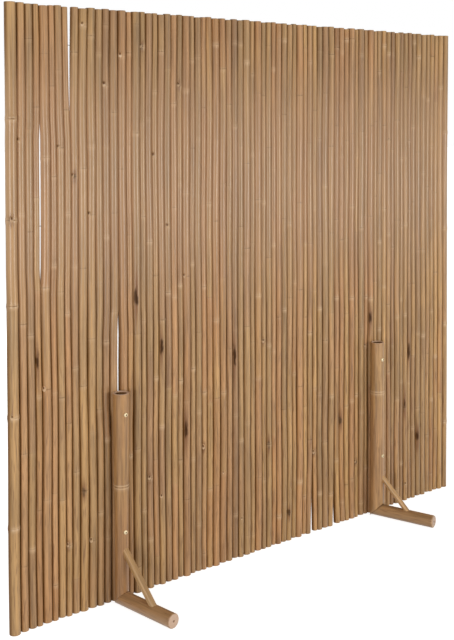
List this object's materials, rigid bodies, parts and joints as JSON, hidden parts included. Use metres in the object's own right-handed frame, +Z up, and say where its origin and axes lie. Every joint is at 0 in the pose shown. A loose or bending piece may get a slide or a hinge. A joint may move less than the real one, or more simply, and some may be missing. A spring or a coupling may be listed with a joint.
{
  "type": "bamboo fence panel",
  "caption": "Free-standing screen of upright bamboo canes threaded on tie wires and held up by braced L-shaped bamboo stands bolted through the panel.",
  "frame": {"origin": "on the ground, under the middle of the panel", "axes": "+X along the panel, +Y from the front to the rear, +Z up"},
  "size_m": [1.8, 0.4974, 1.7],
  "materials": {
    "cane": "dried bamboo cane, tan to pinkish brown, satin skin",
    "edge_cane": "thick dried bamboo cane with node rings, satin skin",
    "stand": "stained bamboo pole, warm golden brown, satin",
    "wire": "dull galvanised wire",
    "bolt": "zinc-plated steel"
  },
  "bodies": {
    "root": {"bolt_nuts": "bolt", "cane_group_01": "cane", "cane_group_02": "cane", "cane_group_03": "cane", "cane_group_04": "cane", "cane_group_05": "cane", "cane_group_06": "cane", "cane_group_07": "cane", "cane_group_08": "cane", "cane_group_09": "cane", "cane_group_10": "cane", "cane_group_11": "cane", "cane_group_12": "cane", "cane_group_13": "cane", "cane_group_14": "cane", "cane_group_15": "cane", "cane_group_16": "cane", "cane_group_17": "cane", "cane_group_18": "cane", "cane_group_19": "cane", "cane_group_20": "cane", "cane_group_21": "cane", "cane_group_22": "cane", "cane_group_23": "cane", "cane_group_24": "cane", "cane_group_25": "cane", "cane_group_26": "cane", "cane_group_27": "cane", "cane_group_28": "cane", "cane_group_29": "cane", "cane_group_30": "cane", "cane_group_31": "cane", "cane_group_32": "cane", "cane_group_33": "cane", "cane_group_34": "cane", "cane_group_35": "cane", "cane_group_36": "cane", "front_left_brace": "stand", "front_left_foot": "stand", "front_left_post": "stand", "front_right_brace": "stand", "front_right_foot": "stand", "front_right_post": "stand", "left_edge_cane": "edge_cane", "left_post_cane": "cane", "rear_left_brace": "stand", "rear_left_foot": "stand", "rear_left_post": "stand", "rear_right_brace": "stand", "rear_right_foot": "stand", "rear_right_post": "stand", "right_edge_cane": "edge_cane", "right_post_cane": "cane", "stand_bolts": "bolt", "tie_wire_1": "wire", "tie_wire_2": "wire", "tie_wire_3": "wire", "tie_wire_4": "wire"}
  },
  "joints": []
}
